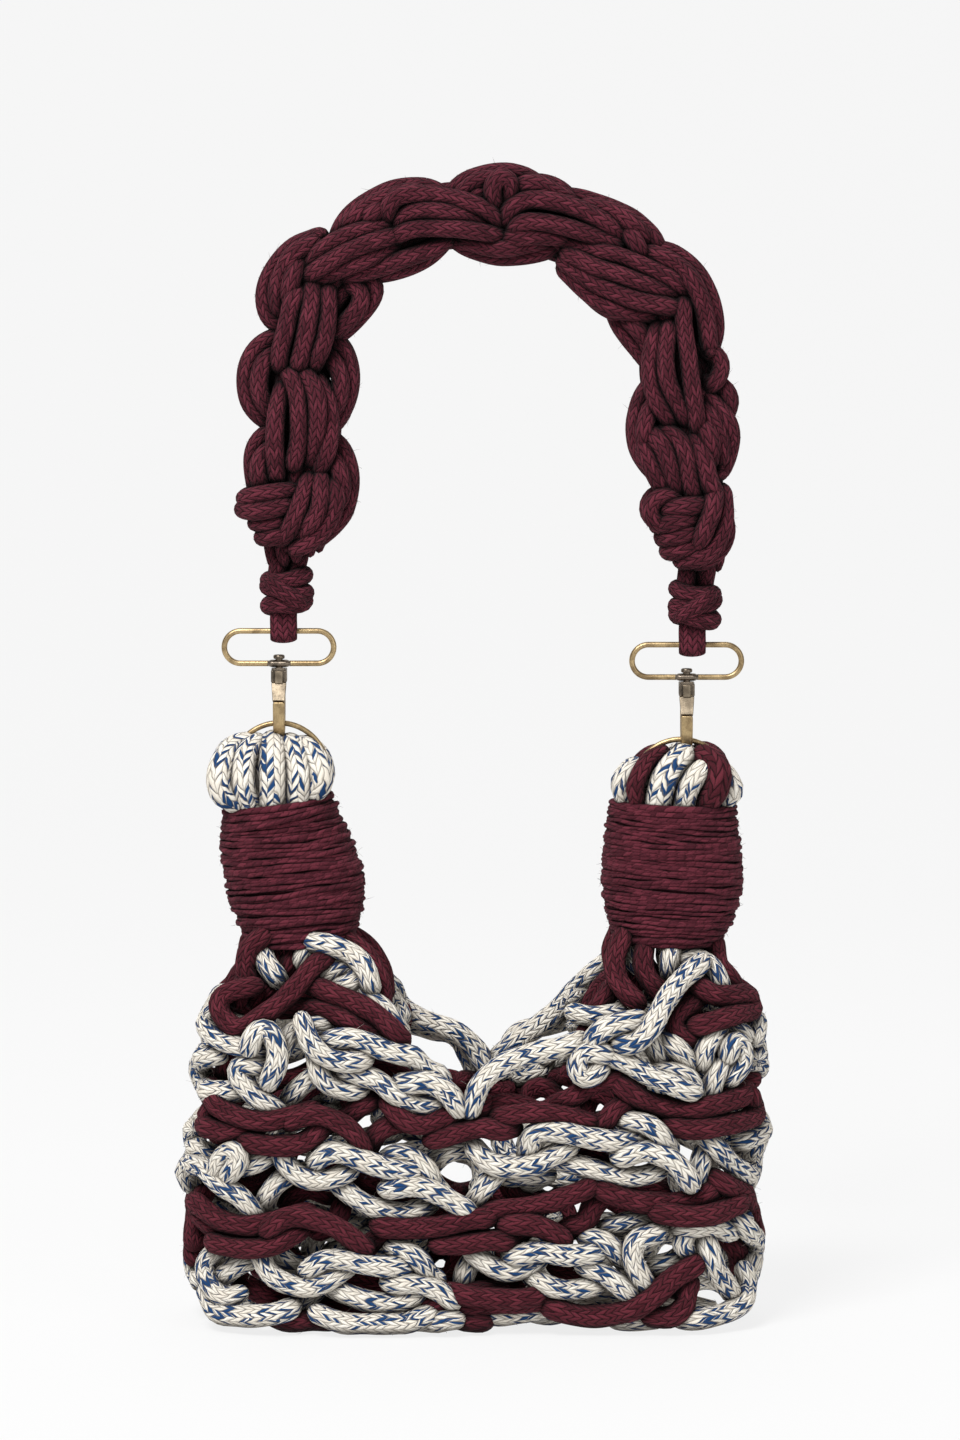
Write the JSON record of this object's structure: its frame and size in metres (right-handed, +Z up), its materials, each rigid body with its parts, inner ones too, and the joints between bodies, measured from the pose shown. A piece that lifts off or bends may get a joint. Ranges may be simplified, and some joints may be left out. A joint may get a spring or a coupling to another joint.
{
  "type": "handbag",
  "caption": "Small crocheted net handbag in striped cord with two wrapped necks, ring and snap-hook fittings and a chunky chain-stitch strap.",
  "frame": {"origin": "on the surface that the bag stands on, under the middle of the whole object left to right and front to back", "axes": "+Z up, -Y the front, +X to the right as one looks at the front"},
  "size_m": [0.238, 0.088, 0.4652],
  "materials": {
    "cream_cord": "knitted tube cord, cream with blue plies, matt",
    "maroon_cord": "knitted tube cord, slightly fuzzy, matt",
    "maroon_yarn": "twisted yarn wound in close turns, matt",
    "antique_brass": "antique brass, satin with worn edges"
  },
  "bodies": {
    "bag": {"base_maroon": "maroon_cord", "base_cream": "cream_cord", "row_a_cream": "cream_cord", "row_b_maroon": "maroon_cord", "row_c_cream": "cream_cord", "row_d_maroon": "maroon_cord", "row_e_cream": "cream_cord", "shoulder_left": "cream_cord", "wrap_left": "maroon_yarn", "bunch_left": "cream_cord", "ring_left": "antique_brass", "oval_left": "antique_brass", "strap_end_left": "maroon_cord", "shoulder_right": "cream_cord", "wrap_right": "maroon_yarn", "bunch_right": "cream_cord", "ring_right": "antique_brass", "oval_right": "antique_brass", "strap_end_right": "maroon_cord", "strap": "maroon_cord"},
    "hook_left": {"hook_left": "antique_brass"},
    "gate_left": {"gate_left": "antique_brass"},
    "hook_right": {"hook_right": "antique_brass"},
    "gate_right": {"gate_right": "antique_brass"}
  },
  "joints": [
    {"name": "hook_left_swivel", "type": "hinge", "parent": "bag", "child": "hook_left", "pos_m": [-0.0779, 0, 0.26292], "axis": [0, 0, 1], "range_deg": [-15, 15]},
    {"name": "gate_left_hinge", "type": "hinge", "parent": "hook_left", "child": "gate_left", "pos_m": [-0.0779, -0.0024, 0.25592], "axis": [1, 0, 0], "range_deg": [0, 25], "stiffness_Nm_per_rad": 0.05, "springref_deg": -5.73},
    {"name": "hook_right_swivel", "type": "hinge", "parent": "bag", "child": "hook_right", "pos_m": [0.085, 0, 0.25742], "axis": [0, 0, 1], "range_deg": [-15, 15]},
    {"name": "gate_right_hinge", "type": "hinge", "parent": "hook_right", "child": "gate_right", "pos_m": [0.085, -0.0024, 0.25042], "axis": [1, 0, 0], "range_deg": [0, 25], "stiffness_Nm_per_rad": 0.05, "springref_deg": -5.73}
  ]
}
